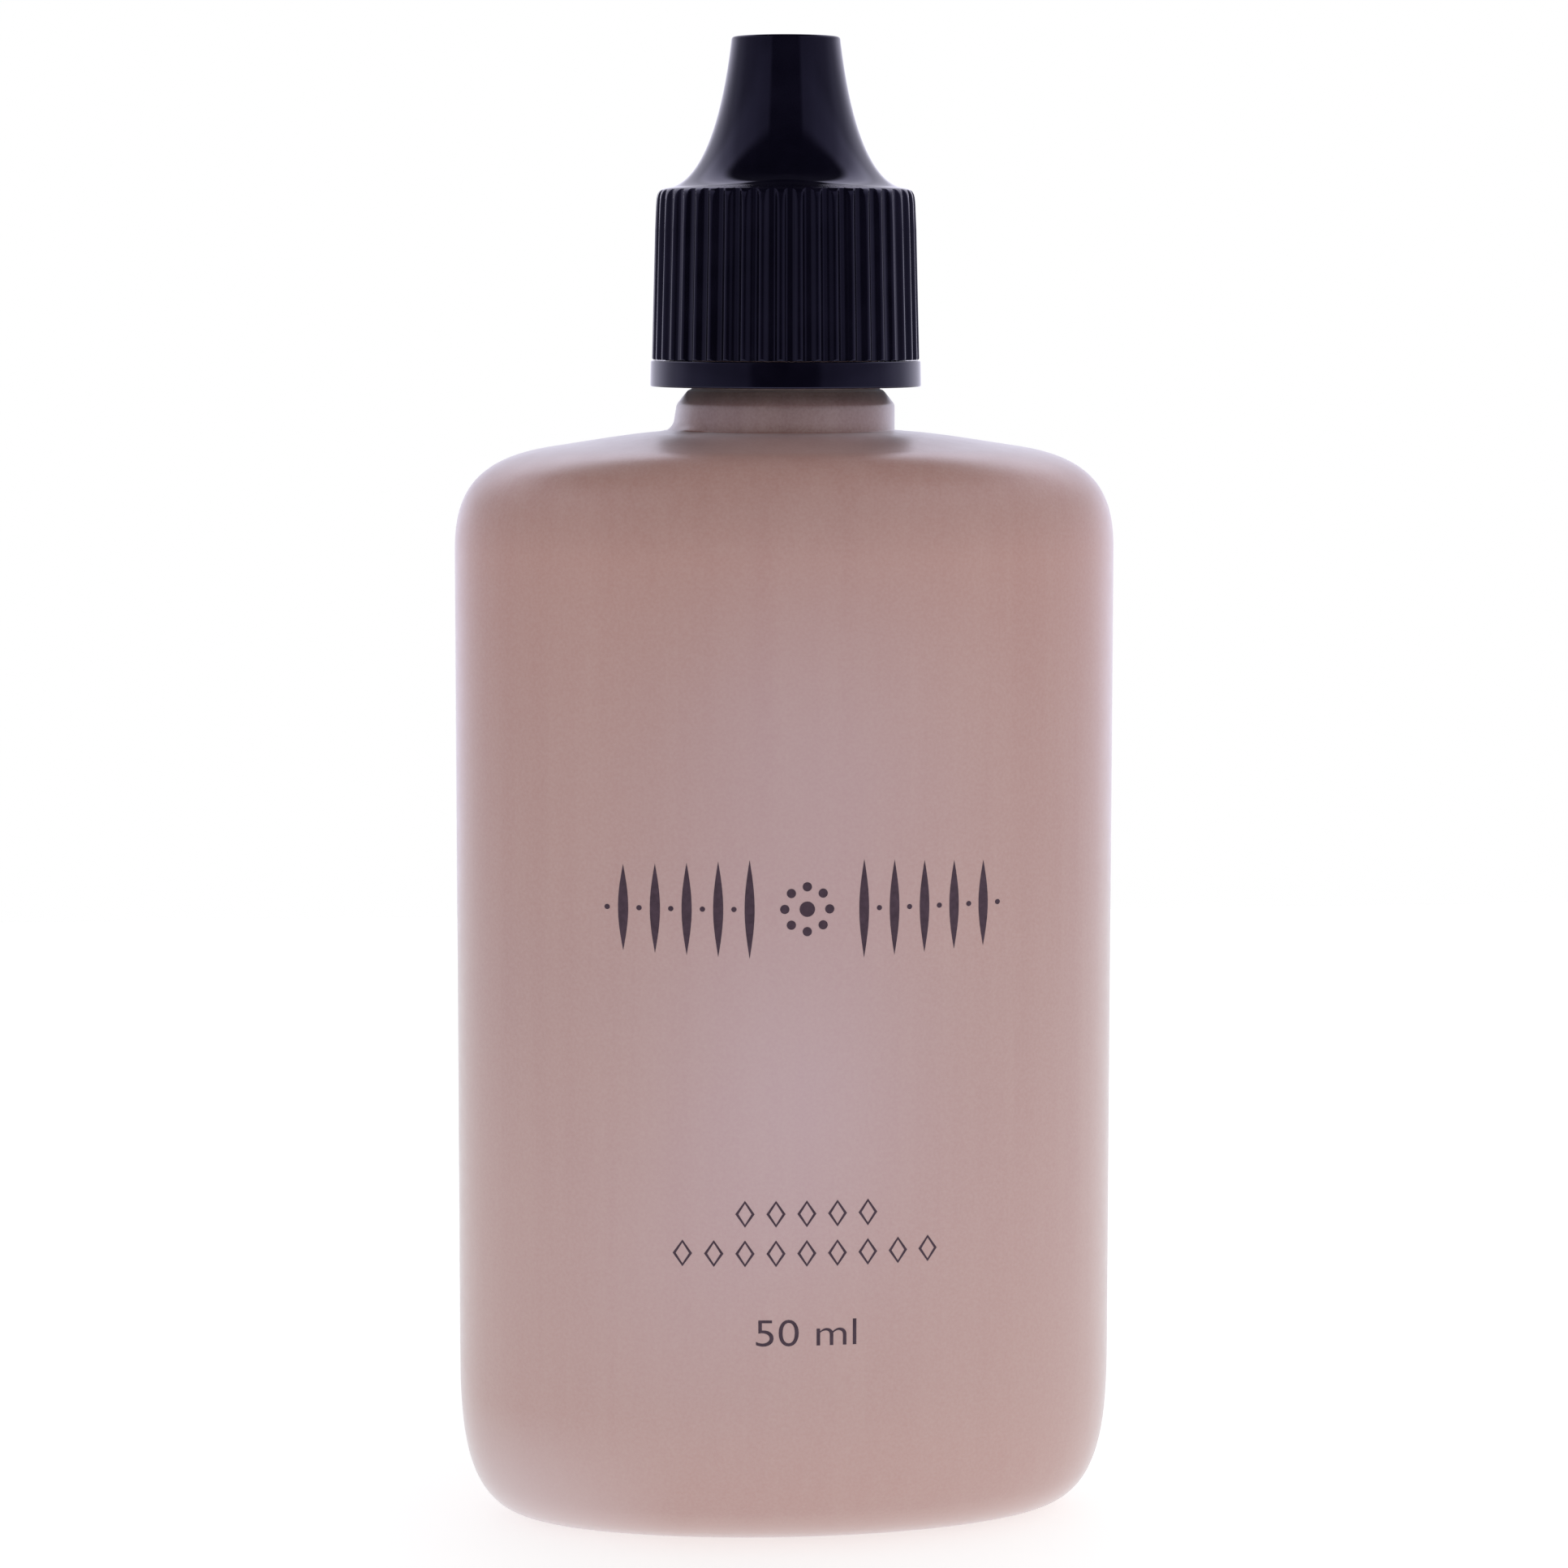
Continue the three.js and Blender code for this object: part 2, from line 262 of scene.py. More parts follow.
def body_rows(foot_steps, shoulder_steps):
    """The oval outside from the middle of the base to the collar's foot."""
    base = rounded(
        [
            (0, PUSH_UP),
            (PUSH_UP_HALF_WIDTH, PUSH_UP),
            (PUSH_UP_HALF_WIDTH + 0.9, 0),
            (FOOT_HALF_WIDTH, 0),
        ],
        0.5,
    )
    foot = bezier(
        (FOOT_HALF_WIDTH, 0),
        (HALF_WIDTH - 0.4, 0.4),
        (HALF_WIDTH, FOOT_CORNER_HEIGHT / 2),
        (HALF_WIDTH, FOOT_CORNER_HEIGHT),
        foot_steps,
    )[1:]
    side = line((HALF_WIDTH, FOOT_CORNER_HEIGHT), (HALF_WIDTH, SHOULDER_START), 12)[1:]
    shoulder = bezier(
        (HALF_WIDTH, SHOULDER_START),
        (HALF_WIDTH, SHOULDER_START + 3.4),
        (HALF_WIDTH - 0.85, BODY_TOP - 1.9),
        SHOULDER_END,
        shoulder_steps,
    )[1:]
    slope = bezier(
        SHOULDER_END, (13.2, BODY_TOP - 0.66), (10.6, BODY_TOP - 0.2), SLOPE_END, 12
    )[1:]
    return [(a, foot_depth(a), z) for a, z in base + foot] + [
        (a, shoulder_depth(a), z) for a, z in side + shoulder + slope
    ]


def inset_rows(rows, distance):
    """The same rows moved inwards, to give the inside of a wall."""
    out = []
    for i, (a, b, z) in enumerate(rows):
        before, after = rows[max(i - 1, 0)], rows[min(i + 1, len(rows) - 1)]
        along = np.array([after[0] - before[0], after[2] - before[2]])
        along /= np.linalg.norm(along)
        inwards = distance * along[1]
        out.append((max(a - inwards, 0), max(b - inwards, 0), z + distance * along[0]))
    return out


def thread_swell(angles, z, start, sign):
    """How far a thread ridge stands out at height z, for each angle."""
    swell = np.zeros(len(angles))
    for turn in range(2):
        travel = np.mod(angles, 2 * math.pi) + 2 * math.pi * turn
        centre = start + THREAD_LEAD * travel / (2 * math.pi)
        ridge = 1 - smooth_step(THREAD_CREST, THREAD_FOOT, np.abs(z - centre))
        end = 2 * math.pi * THREAD_TURNS
        fade_in = smooth_step(0, THREAD_FADE, travel)
        fade_out = 1 - smooth_step(end - THREAD_FADE, end, travel)
        swell = np.maximum(swell, ridge * (fade_in * fade_out))
    return sign * THREAD_HEIGHT * swell


def lug_swell(angles, z):
    """The stop lug swells the collar towards its foot on the -X side, into a fillet."""
    from_side = np.abs(np.mod(angles, 2 * math.pi) - math.pi)
    window = 1 - smooth_step(LUG_HALF_ANGLE * 0.75, LUG_HALF_ANGLE * 1.25, from_side)
    low = np.clip((CHAMFER_BASE - z) / (CHAMFER_BASE - BODY_TOP), 0, 1)
    fillet = np.clip((BODY_TOP + LUG_FILLET_HEIGHT - z) / LUG_FILLET_HEIGHT, 0, 1) ** 2
    return window * (LUG_PROUD * low + LUG_FILLET * fillet)


def bottle_shell(material):
    """The hollow bottle: oval body, collar with its lug, neck, bead, thread, lip and bore."""
    outside = body_rows(22, 36)
    neck = rounded(
        [
            SLOPE_END,
            *((COLLAR_RADIUS, BODY_TOP + rise) for rise in (0.06, 0.3, 0.55, 0.8)),
            (COLLAR_RADIUS, CHAMFER_BASE),
            (6.5, COLLAR_TOP),
            (NECK_RADIUS, COLLAR_TOP + 0.1),
            (NECK_RADIUS, BEAD_BASE),
            (BEAD_RADIUS, BEAD_BASE + 0.1),
            (BEAD_RADIUS, BEAD_BASE + 0.5),
            (NECK_RADIUS, BEAD_TOP),
        ],
        0.16,
    )[1:]
    threads = line((NECK_RADIUS, BEAD_BASE + 1.2), (NECK_RADIUS, LIP_TOP - 0.4), 62)
    lip = rounded(
        [
            (NECK_RADIUS, LIP_TOP - 0.38),
            (NECK_RADIUS - 0.1, LIP_TOP),
            (BORE_RADIUS + 0.05, LIP_TOP),
            (BORE_RADIUS, LIP_TOP - 0.4),
            (BORE_RADIUS, BODY_TOP + 0.3),
            (BORE_RADIUS + 0.7, BODY_TOP - 0.8),
        ],
        0.3,
    )
    inside = inset_rows(body_rows(10, 14), WALL)[::-1]
    rows = outside + circles(neck + threads + lip) + inside
    inner_start = len(outside) + len(neck) + len(threads)

    def swell(angles, index):
        z = rows[index][2]
        if index >= inner_start:
            return 0
        if z > BEAD_TOP:
            return thread_swell(angles, z, NECK_THREAD_START, 1)
        if index >= len(outside) and z < CHAMFER_BASE:
            return lug_swell(angles, z)
        return 0

    piece = revolve("bottle_shell", rows, 288, swell)
    return dress(piece, BODY, "frosted_shell", material, "bottle")


def contents(material):
    """The cream, filling the body and standing in the neck up to the nozzle."""
    column = BORE_RADIUS - GAP
    top = rounded(
        [
            (column + 0.9, BODY_TOP - 1.2),
            (column, BODY_TOP),
            (column, FILL_HIGH[2]),
            (0, FILL_HIGH[2]),
        ],
        0.4,
    )
    rows = inset_rows(body_rows(12, 18), WALL + GAP) + circles(top)
    piece = revolve("foundation_cream", rows, 144)
    return dress(piece, BODY, "foundation", material, "foundation_fill")


# ---------- nozzle, band and cap ----------
def nozzle(material):
    """Plug, flange and tapered spout, with the outlet through the middle."""
    plug = BORE_RADIUS - GAP
    flange = LIP_TOP + GAP
    low, tip = NOZZLE_LOW[2], NOZZLE_HIGH[2]
    outline = rounded(
        [
            (plug - 0.9, low + 1.0),
            (plug - 0.9, low),
            (plug - 0.25, low),
            (plug, low + 0.5),
            (plug, flange),
            (FLANGE_RADIUS, flange),
            (FLANGE_RADIUS, flange + FLANGE_HEIGHT),
            (3.4, flange + FLANGE_HEIGHT),
            (2.6, flange + 1.7),
            (SPOUT_RADIUS, tip - 1.0),
            (SPOUT_RADIUS, tip - 0.25),
            (1.35, tip),
            (NOZZLE_BORE, tip),
            (NOZZLE_BORE, tip - 1.9),
            (1.75, flange + 1.4),
            (plug - 0.95, flange),
            (plug - 0.9, low + 1.1),
        ],
        0.3,
    )
    piece = revolve("dropper_nozzle", circles(outline), 96, closed=True)
    return dress(piece, BODY, "natural_plastic", material, "nozzle_insert")


def band(material):
    """The smooth ring under the cap, with the lip that the neck's bead holds down."""
    radius = BAND_HIGH[0]
    low, high = BAND_LOW[2], SEAM_HEIGHT - SEAM / 2
    outline = rounded(
        [
            (BAND_BORE, low + 0.4),
            (BAND_BORE, low),
            (radius, low),
            (radius - 0.04, high),
            (BAND_BORE, high),
            (BAND_BORE - 0.3, high - 0.2),
            (BAND_LIP_RADIUS, high - 0.25),
            (BAND_LIP_RADIUS, high - 0.65),
            (BAND_BORE - 0.2, high - 0.95),
            (BAND_BORE, low + 0.5),
        ],
        0.13,
    )
    piece = revolve("cap_band", circles(outline), 240, closed=True)
    return dress(piece, "band", "black_plastic", material, "tamper_band")


def rib_cut(angles):
    """How deep the flutes cut at each angle: narrow rounded crests, wide hollow flutes."""
    share = np.mod((angles + math.pi / 2) / (2 * math.pi) * RIB_COUNT, 1)
    across = np.abs(2 * share - 1)
    return RIB_DEPTH * (1 - smooth_step(0.25, 0.98, across) ** 0.8)


def cap_outside():
    """The cap's outline from the skirt's edge up to the middle of its top."""
    skirt = rounded(
        [
            (SKIRT_BORE, SKIRT_BASE + 0.3),
            (SKIRT_BORE + 0.2, SKIRT_BASE),
            (SKIRT_RADIUS, SKIRT_BASE),
            (RIM_RADIUS + 0.14, NOSE_BASE - 2.8),
            RIM_START,
        ],
        0.12,
    )
    rim = bezier(
        RIM_START,
        (RIM_RADIUS - 0.03, NOSE_BASE - 0.3),
        (RIM_RADIUS - 0.1, NOSE_BASE - 0.06),
        NOSE_FOOT,
        12,
    )[1:]
    nose = bezier(
        NOSE_FOOT, (6.76, NOSE_BASE + 0.2), (4.64, NOSE_BASE + 1.35), NOSE_TIP, 26
    )[1:]
    crown = rounded(
        [NOSE_TIP, (3.58, CAP_TOP), (2.4, CAP_TOP - 0.02), (0, CAP_TOP - 0.02)], 0.3, 6
    )[1:]
    return skirt + rim + nose + crown


def cap_cavity():
    """The cap's inside, from the middle of its top down to the top of the bore."""
    walls = rounded(
        [
            (0.01, CAVITY_TOP),
            (2.4, CAVITY_TOP),
            (2.7, CAVITY_TOP - 0.3),
            (3.1, NOSE_BASE + 6.0),
            (4.0, NOSE_BASE + 3.0),
            (4.9, NOSE_BASE + 1.0),
            (5.6, NOSE_BASE - 0.5),
            (SKIRT_BORE - 0.3, NOSE_BASE - 0.5),
            (SKIRT_BORE, NOSE_BASE - 0.9),
        ],
        0.3,
        2,
    )
    return [(0, CAVITY_TOP)] + walls[1:]


def cap(material):
    """Ribbed skirt, hollow-curved nose and threaded bore, as one closed shell."""
    outside = cap_outside()
    cavity = cap_cavity()
    bore = line((SKIRT_BORE, NOSE_BASE - 1.0), (SKIRT_BORE, SKIRT_BASE + 0.4), 42)
    rows = circles(outside + cavity + bore)
    bore_start = len(rows) - len(bore)
    taper = (SKIRT_RADIUS - RIM_RADIUS) / (NOSE_BASE - SKIRT_BASE) / SKIRT_RADIUS

    def swell(angles, index):
        radius, _, z = rows[index]
        if index >= bore_start:
            return thread_swell(angles, z, CAP_THREAD_START, -1)
        smooth = radius < RIM_RADIUS - RIB_DEPTH - 0.1
        if smooth or index < SKIRT_EDGE_ROWS or index >= len(outside):
            return 0
        crests = (SKIRT_RADIUS + 0.02) * (1 - taper * (z - SKIRT_BASE))
        return np.minimum(crests - rib_cut(angles) - radius, 0)

    piece = revolve("cap_shell", rows, 720, swell, closed=True)
    return dress(piece, "cap", "black_plastic", material, "screw_cap")


def sealing_pin(material):
    """The pin under the cap's top that stops the nozzle's outlet."""
    tip = NOZZLE_HIGH[2]
    outline = rounded(
        [
            (0, tip - 1.1),
            (0.42, tip - 1.1),
            (0.5, tip + 0.4),
            (1.2, CAP_TOP - 1.6),
            (1.4, CAP_TOP - 1.1),
            (0, CAP_TOP - 1.1),
        ],
        0.15,
    )
    piece = revolve("cap_pin", circles(outline), 48)
    return dress(piece, "cap", "black_plastic", material)


# ---------- print ----------
def on_front(x, z, lift=INK_LIFT):
    """A point of the print, wrapped onto the bottle's front face."""
    y = -(HALF_DEPTH + lift) * math.sqrt(max(1 - (x / (HALF_WIDTH + lift)) ** 2, 0))
    return (x * MM, y * MM, z * MM)


def diamond_ring(x, z, half_width, half_height, stroke=0.13):
    """A hollow diamond, as four strokes."""
    tips = [(0, half_height), (half_width, 0), (0, -half_height), (-half_width, 0)]
    share_x = 1 - 1.5 * stroke / half_width
    share_z = 1 - 1.5 * stroke / half_height
    out = []
    for (ax, az), (bx, bz) in zip(tips, tips[1:] + tips[:1]):
        inner_b = (x + bx * share_x, z + bz * share_z)
        inner_a = (x + ax * share_x, z + az * share_z)
        out.append([(x + ax, z + az), inner_a, inner_b, (x + bx, z + bz)])
    return out


def leaf(x, z, half_width, half_height, steps=14):
    """A slim pointed leaf standing upright."""
    side = []
    for t in np.linspace(0, 1, steps):
        side.append((half_width * math.sin(math.pi * t), half_height * (2 * t - 1)))
    return [(x + dx, z + dz) for dx, dz in side] + [(x - dx, z + dz) for dx, dz in side[-2:0:-1]]


def disc(x, z, radius, steps=20):
    turns = [2 * math.pi * i / steps for i in range(steps)]
    return [(x + radius * math.cos(t), z + radius * math.sin(t)) for t in turns]


def print_mesh(name, outlines, material):
    """One piece of print from flat outlines, each a face on the wall."""
    verts, faces = [], []
    for outline in outlines:
        start = len(verts)
        verts += [on_front(x, z) for x, z in outline]
        faces.append(tuple(range(start, start + len(outline))))
    piece = make_mesh(name, verts, faces)
    return dress(piece, BODY, "frosted_shell", material)


def ornament(material):
    """A frieze of slim leaves either side of a small rosette."""
    outlines = [disc(0, ORNAMENT_HEIGHT, 0.5)]
    for i in range(ROSETTE_DOTS):
        turn = 2 * math.pi * i / ROSETTE_DOTS
        x, z = ROSETTE_RADIUS * math.sin(turn), ROSETTE_RADIUS * math.cos(turn)
        outlines.append(disc(x, ORNAMENT_HEIGHT + z, 0.3))
    for side in (-1, 1):
        for i in range(LEAVES_PER_SIDE):
            x = side * (FIRST_LEAF + LEAF_PITCH * i)
            outlines.append(leaf(x, ORNAMENT_HEIGHT, 0.32, 3.2 - 0.1 * i))
            outlines.append(disc(x + side * LEAF_PITCH / 2, ORNAMENT_HEIGHT, 0.17))
    return print_mesh("print_ornament", outlines, material)


def diamond_rows(material):
    """Two centred rows of small hollow diamonds, five above nine."""
    outlines = []
    for z, count in DIAMOND_ROWS:
        for i in range(count):
            x = DIAMOND_PITCH * (i - (count - 1) / 2)
            outlines += diamond_ring(x, z, 0.62, 0.88)
    return print_mesh("print_diamonds", outlines, material)


def volume_mark(material):
    """The volume, set in the built-in font and wrapped onto the front."""
    curve = bpy.data.curves.new("print_volume", "FONT")
    curve.body = "50 ml"
    curve.align_x = "CENTER"
    curve.size = VOLUME_SIZE * MM
    curve.offset = VOLUME_THINNING * MM
    curve.resolution_u = 6
    text = add_object("volume_text", curve)
    bpy.context.view_layer.update()
    mesh = bpy.data.meshes.new_from_object(text)
    bpy.data.objects.remove(text)
    for vertex in mesh.vertices:
        x = vertex.co.x / MM * VOLUME_STRETCH
        vertex.co = on_front(x, VOLUME_HEIGHT + vertex.co.y / MM)
    mesh.materials.clear()
    return dress(add_object("print_volume", mesh), BODY, "frosted_shell", material)


# ---------- materials ----------
MIX_FACTOR, MIX_FIRST, MIX_SECOND, MIX_RESULT = 0, 6, 7, 2  # a colour Mix node's sockets


class Tree:
    """A small helper to build the node tree of a material or a world."""

    def __init__(self, owner):
        owner.use_nodes = True
        self.tree = owner.node_tree

    def add(self, kind, **settings):
        node = self.tree.nodes.new(kind)
        for key, value in settings.items():
            setattr(node, key, value)
        return node

    def link(self, source, target):
        self.tree.links.new(source, target)

    def math(self, operation, first, second=None):
        node = self.add("ShaderNodeMath", operation=operation)
        for socket, value in zip(node.inputs, (first, second)):
            if isinstance(value, (int, float)):
                socket.default_value = value
            elif value is not None:
                self.link(value, socket)
        return node.outputs[0]

    def mix(self, factor, first, second):
        """From the first colour to the second by a factor; each is a value or a socket."""
        node = self.add("ShaderNodeMix", data_type="RGBA")
        for index, value in ((MIX_FACTOR, factor), (MIX_FIRST, first), (MIX_SECOND, second)):
            if isinstance(value, tuple):
                node.inputs[index].default_value = (*value, 1)
            elif isinstance(value, (int, float)):
                node.inputs[index].default_value = value
            else:
                self.link(value, node.inputs[index])
        return node.outputs[MIX_RESULT]

    def ramp(self, source, stops, interpolation="LINEAR"):
        """The colour read from (place, colour) stops, with places from 0 to 1."""
        node = self.add("ShaderNodeValToRGB")
        node.color_ramp.interpolation = interpolation
        elements = node.color_ramp.elements
        while len(elements) < len(stops):
            elements.new(0.5)
        for element, (place, colour) in zip(elements, stops):
            element.position = place
            element.color = (*colour, 1)
        self.link(source, node.inputs[0])
        return node.outputs[0]


class Surface(Tree):
    """A material's node tree, textured in the piece's own coordinates."""

    def __init__(self, name):
        self.material = bpy.data.materials.new(name)
        super().__init__(self.material)
        self.shader = self.tree.nodes["Principled BSDF"]
        self.coords = self.add("ShaderNodeTexCoord").outputs["Object"]

    def noise(self, scale, detail, stretch=(1, 1, 1)):
        mapping = self.add("ShaderNodeMapping")
        mapping.inputs["Scale"].default_value = stretch
        self.link(self.coords, mapping.inputs["Vector"])
        node = self.add("ShaderNodeTexNoise")
        node.inputs["Scale"].default_value = scale
        node.inputs["Detail"].default_value = detail
        self.link(mapping.outputs[0], node.inputs["Vector"])
        return node.outputs["Fac"]

    def spread(self, source, low, high, from_low=0.3, from_high=0.7):
        """A range of the source stretched to low..high; a noise lies mostly in 0.3 to 0.7."""
        node = self.add("ShaderNodeMapRange")
        ends = {"From Min": from_low, "From Max": from_high, "To Min": low, "To Max": high}
        for name, value in ends.items():
            node.inputs[name].default_value = value
        self.link(source, node.inputs["Value"])
        return node.outputs["Result"]

    def fade(self, place, low, high, span):
        """low where the span starts to high where it ends; the span is in millimetres."""
        return self.spread(place, low, high, span[0] * MM, span[1] * MM)

    def bump(self, height, distance, strength):
        node = self.add("ShaderNodeBump")
        node.inputs["Strength"].default_value = strength
        node.inputs["Distance"].default_value = distance
        self.link(height, node.inputs["Height"])
        self.link(node.outputs[0], self.shader.inputs["Normal"])

    def set(self, **values):
        for name, value in values.items():
            self.shader.inputs[name.replace("_", " ")].default_value = value

    def wire(self, **sources):
        for name, source in sources.items():
            self.link(source, self.shader.inputs[name.replace("_", " ")])


# the wall's colour, with the cream showing through, by height above the base in millimetres; with
# painted light along the foot's edge and painted shade from the shoulder up to the collar's top
SHELL_COLOURS_AND_PAINTED_SHADING = (
    # painted light: the bottom 2.8 mm made paler, as if lit along the foot's edge
    (0.0, (0.620, 0.460, 0.430)),
    (1.0, (0.490, 0.318, 0.292)),
    # the body's tone, a little darker towards the top, partly the cream's colour and partly
    # painted shade
    (2.8, (0.398, 0.220, 0.199)),
    (22.0, (0.378, 0.208, 0.195)),
    (37.0, (0.358, 0.193, 0.180)),
    (53.0, (0.364, 0.189, 0.168)),
    (65.0, (0.365, 0.177, 0.149)),
    # painted shade: darker under the shoulder's top, a near-black ring at the collar's foot, and
    # a dark collar and chamfer in the shade of the cap's band
    (71.8, (0.308, 0.156, 0.134)),
    (73.1, (0.120, 0.030, 0.020)),
    (73.6, (0.190, 0.095, 0.105)),
    (CHAMFER_BASE - 0.1, (0.165, 0.085, 0.100)),
    (CHAMFER_BASE + 0.1, (0.100, 0.053, 0.058)),
    (COLLAR_TOP, (0.040, 0.024, 0.028)),
    (COLLAR_TOP + 0.4, (0.420, 0.330, 0.320)),
    (LIP_TOP, (0.460, 0.380, 0.370)),
)
# painted highlight: the pale lilac laid over the body in soft patches
PAINTED_HIGHLIGHT_COLOUR = (0.426, 0.281, 0.318)
# the painted soft highlights, pale lilac on the front and the back: across, height, half-width,
# half-height in millimetres, strength
PAINTED_HIGHLIGHTS = (
    (0.0, 53.0, 9.5, 11.5, 0.6),
    (-1.5, 31.0, 9.0, 15.0, 0.85),
    (-9.0, 18.0, 7.0, 9.0, 0.2),
)
# a pale milky colour painted on as light along the shoulder's ends and the foot's left corner,
# over spans in millimetres
PAINTED_RIM_LIGHT_COLOUR = (0.640, 0.560, 0.600)
SHOULDER_PAINTED_LIGHT = 0.48
SHOULDER_PAINTED_LIGHT_OUTWARD = (9.0, 16.0)
SHOULDER_PAINTED_LIGHT_UPWARD = (70.3, 72.2)
FOOT_PAINTED_LIGHT = 0.6
FOOT_PAINTED_LIGHT_ACROSS = (-19.0, -8.0)
FOOT_PAINTED_LIGHT_UPWARD = (0.5, 9.0)


def painted_highlights(n, across, up, body):
    """The body's colour with soft pale highlights painted over it."""
    for side, height, half_width, half_height, strength in PAINTED_HIGHLIGHTS:
        aside = n.math("DIVIDE", n.math("SUBTRACT", across, side * MM), half_width * MM)
        above = n.math("DIVIDE", n.math("SUBTRACT", up, height * MM), half_height * MM)
        far = n.math("ADD", n.math("MULTIPLY", aside, aside), n.math("MULTIPLY", above, above))
        glow = n.math("POWER", math.e, n.math("MULTIPLY", far, -1))
        body = n.mix(n.math("MULTIPLY", glow, strength), body, PAINTED_HIGHLIGHT_COLOUR)
    return body


def painted_rim_light(n, across, up, body):
    """The body's colour, with pale painted light towards the shoulder's ends and on the foot's
    left corner.
    """
    outward = n.fade(n.math("ABSOLUTE", across), 0, 1, SHOULDER_PAINTED_LIGHT_OUTWARD)
    upward = n.fade(up, 0, 1, SHOULDER_PAINTED_LIGHT_UPWARD)
    shoulder = n.math("MULTIPLY", n.math("MULTIPLY", outward, upward), SHOULDER_PAINTED_LIGHT)
    body = n.mix(shoulder, body, PAINTED_RIM_LIGHT_COLOUR)
    leftward = n.fade(across, 1, 0, FOOT_PAINTED_LIGHT_ACROSS)
    footward = n.fade(up, FOOT_PAINTED_LIGHT, 0, FOOT_PAINTED_LIGHT_UPWARD)
    return n.mix(n.math("MULTIPLY", leftward, footward), body, PAINTED_RIM_LIGHT_COLOUR)


def frosted_shell():
    """Frosted polyethylene with the cream showing through, under a soft gloss and sheen, with
    painted light and shade in its colour.
    """
    n = Surface("frosted_shell")
    place = n.add("ShaderNodeSeparateXYZ")
    n.link(n.coords, place.inputs[0])
    across, up = place.outputs["X"], place.outputs["Z"]
    # the height ramp paints light along the foot's edge and shade near the collar
    stops = [(height / LIP_TOP, colour) for height, colour in SHELL_COLOURS_AND_PAINTED_SHADING]
    body = n.ramp(n.fade(up, 0, 1, (0, LIP_TOP)), stops)
    # painted soft highlights, then painted pale light on the shoulder's ends and the foot's left
    # corner
    body = painted_rim_light(n, across, up, painted_highlights(n, across, up, body))
    cloudy = n.mix(n.spread(n.noise(60, 4), 0, 0.2), body, (0.42, 0.25, 0.21))
    streaked = n.mix(n.spread(n.noise(700, 3, (1, 1, 0.04)), 0, 0.10), cloudy, (0.50, 0.37, 0.34))
    grain = n.mix(n.spread(n.noise(5000, 2), 0, 0.13), streaked, (0.56, 0.45, 0.44))
    n.wire(Base_Color=grain, Roughness=n.spread(n.noise(900, 3), 0.28, 0.36))
    n.set(IOR=1.5, Sheen_Weight=0.25, Sheen_Roughness=0.36, Sheen_Tint=(0.80, 0.86, 1.0, 1))
    n.set(Coat_Weight=1.0, Coat_Roughness=0.34, Coat_IOR=1.75)
    n.bump(n.noise(1800, 2), 0.02 * MM, 0.2)
    return n.material


def black_plastic():
    """Glossy black moulding, faintly blue."""
    n = Surface("black_plastic")
    dark, pale = (0.0016, 0.0013, 0.0040), (0.0034, 0.0029, 0.0076)
    tint = n.mix(n.spread(n.noise(350, 4), 0, 1), dark, pale)
    n.wire(Base_Color=tint, Roughness=n.spread(n.noise(700, 5), 0.04, 0.10))
    n.set(IOR=1.5, Specular_Tint=(0.62, 0.60, 1.0, 1))
    n.bump(n.noise(1500, 4), 0.006 * MM, 0.12)
    return n.material


def natural_plastic():
    """Undyed milky plastic."""
    n = Surface("natural_plastic")
    milk = n.mix(n.spread(n.noise(300, 3), 0, 1), (0.74, 0.73, 0.72), (0.82, 0.81, 0.80))
    n.wire(Base_Color=milk, Roughness=n.spread(n.noise(900, 3), 0.3, 0.42))
    n.set(IOR=1.5, Subsurface_Weight=0.3, Subsurface_Scale=0.001)
    n.bump(n.noise(2500, 3), 0.02 * MM, 0.25)
    return n.material


def cream():
    """The foundation, slightly mottled."""
    n = Surface("foundation")
    dark, pale = (0.50, 0.31, 0.25), (0.56, 0.36, 0.29)
    tone = n.mix(n.spread(n.noise(120, 4, (1, 1, 0.3)), 0, 1), dark, pale)
    n.wire(Base_Color=tone, Roughness=n.spread(n.noise(500, 3), 0.3, 0.45))
    n.bump(n.noise(400, 3), 0.05 * MM, 0.3)
    return n.material


def ink():
    """Dark brown-violet printing ink."""
    n = Surface("print_ink")
    tone = n.mix(n.spread(n.noise(3000, 3), 0, 1), (0.034, 0.011, 0.028), (0.052, 0.022, 0.044))
    n.wire(Base_Color=tone, Roughness=n.spread(n.noise(2000, 3), 0.4, 0.55))
    n.bump(n.noise(4000, 2), 0.02 * MM, 0.3)
    return n.material


def floor_material():
    n = Surface("pale_floor")
    tone = n.mix(n.spread(n.noise(6, 3), 0, 1), (0.62, 0.62, 0.62), (0.64, 0.64, 0.64))
    n.wire(Base_Color=tone, Roughness=n.spread(n.noise(40, 3), 0.7, 0.8))
    n.set(Emission_Color=(1, 1, 1, 1), Emission_Strength=0.55)
    return n.material


# ---------- stage ----------
# the camera, in metres and radians
VIEW_AZIMUTH = math.radians(-5.8)
VIEW_ELEVATION = math.radians(6.06)
VIEW_DISTANCE = 0.307
VIEW_HEIGHT = 0.0494
VIEW_ROLL = math.radians(0.045)
VIEW_SIDE = -0.00009  # the target stands this far from the axis
FOCAL_SHARE = 5644 / 1932  # focal length over frame width, in pixels of the 1932 wide frame
SENSOR_WIDTH = 36

# what a reflection sees: brightness round the horizon, from the viewer's side to the far side
WALL_STOPS = ((0.05, 0.03), (0.085, 0.25), (0.25, 0.36), (0.45, 0.43), (0.66, 0.72), (0.9, 1.3))
# and brightness overhead, from the horizon to the zenith, tilted a little towards the viewer
CEILING_STOPS = ((0.0, 1.0), (0.15, 0.78), (0.35, 0.85), (0.5, 1.3), (0.68, 1.3), (0.80, 0.05))
CEILING_TILT = 0.15
REFLECTION_TINT = (0.86, 0.84, 1.0)
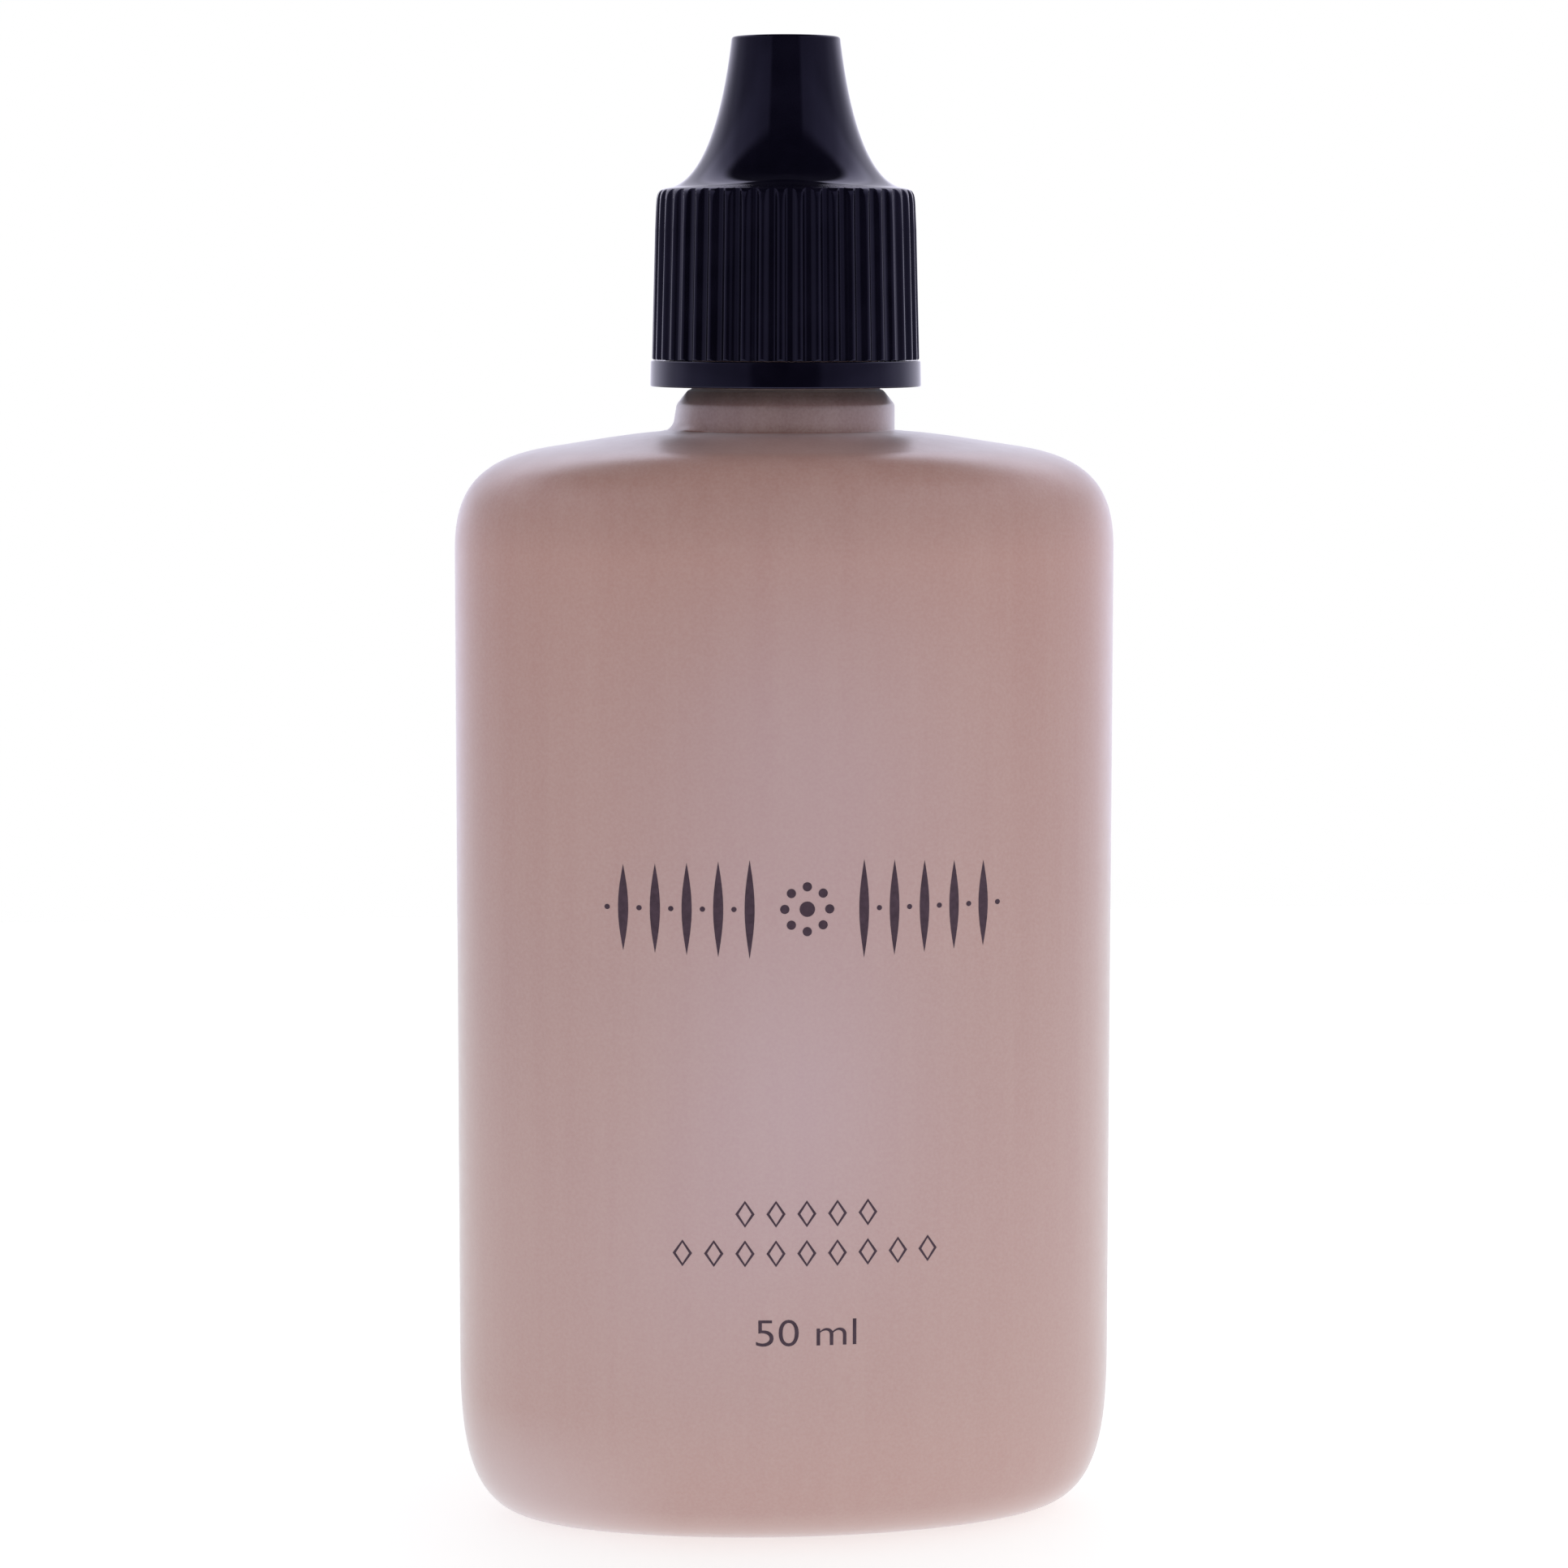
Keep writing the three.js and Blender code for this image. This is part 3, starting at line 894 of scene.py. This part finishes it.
# what lights the surfaces: a dome dimmer at the zenith and brighter to the right
DOME_STOPS = ((0.0, 1.0), (1.0, 0.45))
DOME_STRENGTH = 1.35
DOME_RIGHT = 0.25


def camera():
    """The photograph's camera, as fitted to the bottle's outline."""
    data = bpy.data.cameras.new("camera")
    data.sensor_width = SENSOR_WIDTH
    data.lens = SENSOR_WIDTH * FOCAL_SHARE
    eye = add_object("camera", data)
    back = Vector((
        math.sin(VIEW_AZIMUTH) * math.cos(VIEW_ELEVATION),
        -math.cos(VIEW_AZIMUTH) * math.cos(VIEW_ELEVATION),
        math.sin(VIEW_ELEVATION),
    ))
    eye.rotation_mode = "QUATERNION"
    eye.location = Vector((VIEW_SIDE, 0, VIEW_HEIGHT)) + back * VIEW_DISTANCE
    eye.rotation_quaternion = (-back).to_track_quat("-Z", "Y") @ Quaternion((0, 0, 1), VIEW_ROLL)
    bpy.context.scene.camera = eye


def floor():
    """A plain pale floor under the bottle."""
    half = FLOOR_HALF
    corners = [(-half, -half, 0), (half, -half, 0), (half, half, 0), (-half, half, 0)]
    piece = make_mesh("floor", corners, [(0, 1, 2, 3)])
    piece.data.materials.append(floor_material())


def brightness(sky, source, stops):
    """Brightness read from (place, value) stops, smoothly joined."""
    return sky.ramp(source, [(place, (value, value, value)) for place, value in stops], "EASE")


def mirrored_room(sky, direction, up):
    """What reflections show: a dim near wall, a bright far wall and a dark patch overhead."""
    toward = sky.add("ShaderNodeVectorMath", operation="DOT_PRODUCT")
    toward.inputs[1].default_value = (math.sin(VIEW_AZIMUTH), -math.cos(VIEW_AZIMUTH), 0)
    sky.link(direction, toward.inputs[0])
    # 1.001 keeps the level part of the direction above 0 at the zenith
    level = sky.math("POWER", sky.math("SUBTRACT", 1.001, sky.math("MULTIPLY", up, up)), 0.5)
    facing = sky.math("DIVIDE", toward.outputs["Value"], level)
    away = sky.math("MULTIPLY", sky.math("SUBTRACT", 1.0, facing), 0.5)
    wall = brightness(sky, away, WALL_STOPS)
    tilt = sky.math("MULTIPLY", toward.outputs["Value"], CEILING_TILT)
    ceiling = brightness(sky, sky.math("ADD", up, tilt), CEILING_STOPS)
    return sky.math("MULTIPLY", wall, ceiling)


def dome_light(sky, right, up):
    """The soft light that falls on everything, a little stronger from the right."""
    rightward = sky.math("ADD", sky.math("MULTIPLY", right, DOME_RIGHT), 1.0)
    dome = sky.math("MULTIPLY", brightness(sky, up, DOME_STOPS), DOME_STRENGTH)
    return sky.math("MULTIPLY", dome, rightward)


def surroundings():
    """A white background, with a room in the reflections and a soft dome as the light."""
    world = bpy.data.worlds.new("studio")
    sky = Tree(world)
    bpy.context.scene.world = world
    direction = sky.add("ShaderNodeTexCoord").outputs["Generated"]
    split = sky.add("ShaderNodeSeparateXYZ")
    sky.link(direction, split.inputs[0])
    right, up = split.outputs["X"], split.outputs["Z"]
    mirrored = mirrored_room(sky, direction, up)
    scattered = dome_light(sky, right, up)

    rays = sky.add("ShaderNodeLightPath")
    glossy, seen = rays.outputs["Is Glossy Ray"], rays.outputs["Is Camera Ray"]
    rest = sky.math("SUBTRACT", sky.math("SUBTRACT", 1.0, glossy), seen)
    reflected = sky.math("MULTIPLY", mirrored, glossy)
    lit = sky.math("ADD", reflected, sky.math("MULTIPLY", scattered, rest))
    background = sky.tree.nodes["Background"]
    sky.link(sky.mix(glossy, (1, 1, 1), REFLECTION_TINT), background.inputs["Color"])
    sky.link(sky.math("ADD", lit, seen), background.inputs["Strength"])
    bpy.context.scene.view_settings.view_transform = "Standard"


camera()
surroundings()
floor()
shell_material = frosted_shell()
black = black_plastic()
print_ink = ink()
bottle_shell(shell_material)
contents(cream())
nozzle(natural_plastic())
band(black)
cap(black)
sealing_pin(black)
ornament(print_ink)
diamond_rows(print_ink)
volume_mark(print_ink)
